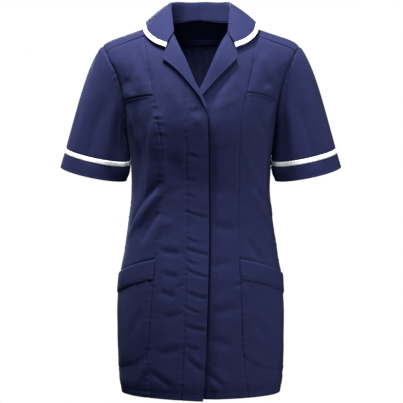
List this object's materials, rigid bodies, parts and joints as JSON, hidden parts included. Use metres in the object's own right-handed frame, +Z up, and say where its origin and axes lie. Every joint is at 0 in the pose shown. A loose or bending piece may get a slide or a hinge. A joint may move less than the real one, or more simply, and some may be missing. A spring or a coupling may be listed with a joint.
{
  "type": "work tunic",
  "caption": "Short-sleeved navy work tunic with hidden front fastening, notched collar, white edging, yoke and patch hip pockets, filled out as worn.",
  "frame": {"origin": "between the shoulders at the foot of the neck, where a wearer's shoulders hold the tunic", "axes": "+Z up along the body, -Y out of the front, +X to the wearer's left"},
  "size_m": [0.5634, 0.2604, 0.7849],
  "materials": {
    "navy_cloth": "navy polyester and cotton twill, slight sheen",
    "white_trim": "white woven binding",
    "button_navy": "navy moulded button"
  },
  "bodies": {
    "root": {"front_right": "navy_cloth", "front_left": "navy_cloth", "fly_strip": "navy_cloth", "side_upper_right": "navy_cloth", "side_upper_left": "navy_cloth", "side_lower_right": "navy_cloth", "side_lower_left": "navy_cloth", "hip_pocket_right": "navy_cloth", "hip_pocket_left": "navy_cloth", "hip_band_right": "navy_cloth", "hip_band_left": "navy_cloth", "lapel_right": "navy_cloth", "lapel_left": "navy_cloth", "collar": "navy_cloth", "yoke": "navy_cloth", "back": "navy_cloth", "side_back_right": "navy_cloth", "side_back_left": "navy_cloth", "sleeve_right": "navy_cloth", "sleeve_left": "navy_cloth", "cuff_right": "navy_cloth", "cuff_left": "navy_cloth", "collar_trim": "white_trim", "sleeve_trim_right": "white_trim", "sleeve_trim_left": "white_trim", "button_1": "button_navy", "button_2": "button_navy", "button_3": "button_navy", "button_4": "button_navy", "button_5": "button_navy"}
  },
  "joints": []
}
